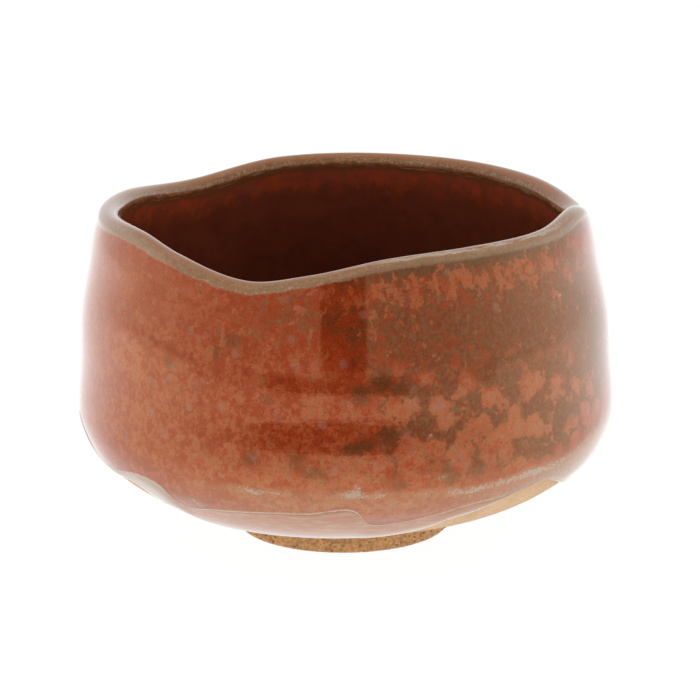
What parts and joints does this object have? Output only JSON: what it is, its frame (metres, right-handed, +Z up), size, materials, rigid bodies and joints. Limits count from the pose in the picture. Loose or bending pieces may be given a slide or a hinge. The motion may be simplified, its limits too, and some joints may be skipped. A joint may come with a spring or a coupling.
{
  "type": "matcha bowl",
  "caption": "Thrown stoneware tea bowl with a wavy lip, a rounded hip, a low bare foot ring and a mottled red iron glaze, for whisking and drinking matcha.",
  "frame": {"origin": "centre of the foot ring, on the surface that the bowl stands on", "axes": "+Z up, -Y towards the side of the bowl that the low dip of the lip is on, +X to the right seen from there"},
  "size_m": [0.1224, 0.1224, 0.0774],
  "materials": {
    "body_clay": "smooth bare tan stoneware",
    "foot_clay": "coarse bare ochre stoneware with dark grit",
    "red_glaze": "glossy mottled brick-red iron glaze",
    "dark_glaze": "glossy dark red-brown glaze",
    "lip_glaze": "glossy taupe and rust glaze, thin on the crest",
    "roll_glaze": "thick glossy pinkish glaze"
  },
  "bodies": {
    "root": {"clay_body": "body_clay", "foot_ring": "foot_clay", "outside_glaze": "red_glaze", "inside_glaze": "dark_glaze", "lip_glaze": "lip_glaze", "glaze_roll": "roll_glaze"}
  },
  "joints": []
}
